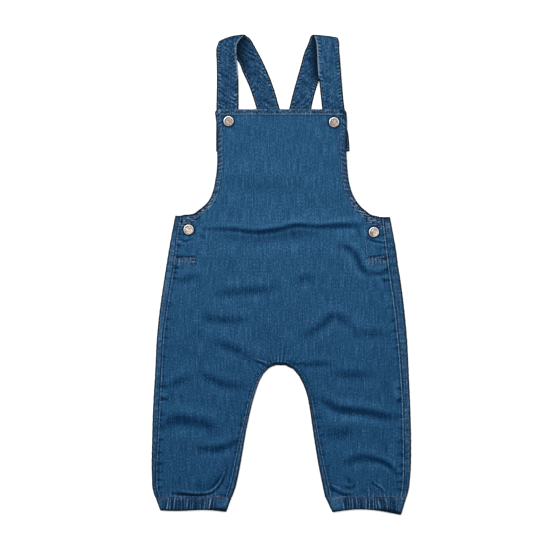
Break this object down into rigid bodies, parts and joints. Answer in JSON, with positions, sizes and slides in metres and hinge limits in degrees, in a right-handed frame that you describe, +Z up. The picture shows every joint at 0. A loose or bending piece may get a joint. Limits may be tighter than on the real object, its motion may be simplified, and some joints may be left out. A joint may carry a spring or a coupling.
{
  "type": "kids dungarees",
  "caption": "Child's blue denim dungarees laid flat, front up: bib, folded shoulder straps, gathered elastic cuffs and metal press studs.",
  "frame": {"origin": "centre of the bounding box at the surface that the garment lies on", "axes": "+Y from the cuffs to the straps, +X to the right with the front up, +Z up out of the front face"},
  "size_m": [0.3109, 0.5751, 0.0066],
  "materials": {
    "denim": "mid-blue twill, matt, paler along seams",
    "stud_metal": "plain nickel press stud cap"
  },
  "bodies": {
    "root": {"front_panel": "denim", "back_panel": "denim", "strap_left": "denim", "strap_right": "denim", "cuff_left": "denim", "cuff_right": "denim", "stud_bib_left": "stud_metal", "stud_bib_right": "stud_metal", "stud_side_left": "stud_metal", "stud_side_right": "stud_metal"}
  },
  "joints": []
}
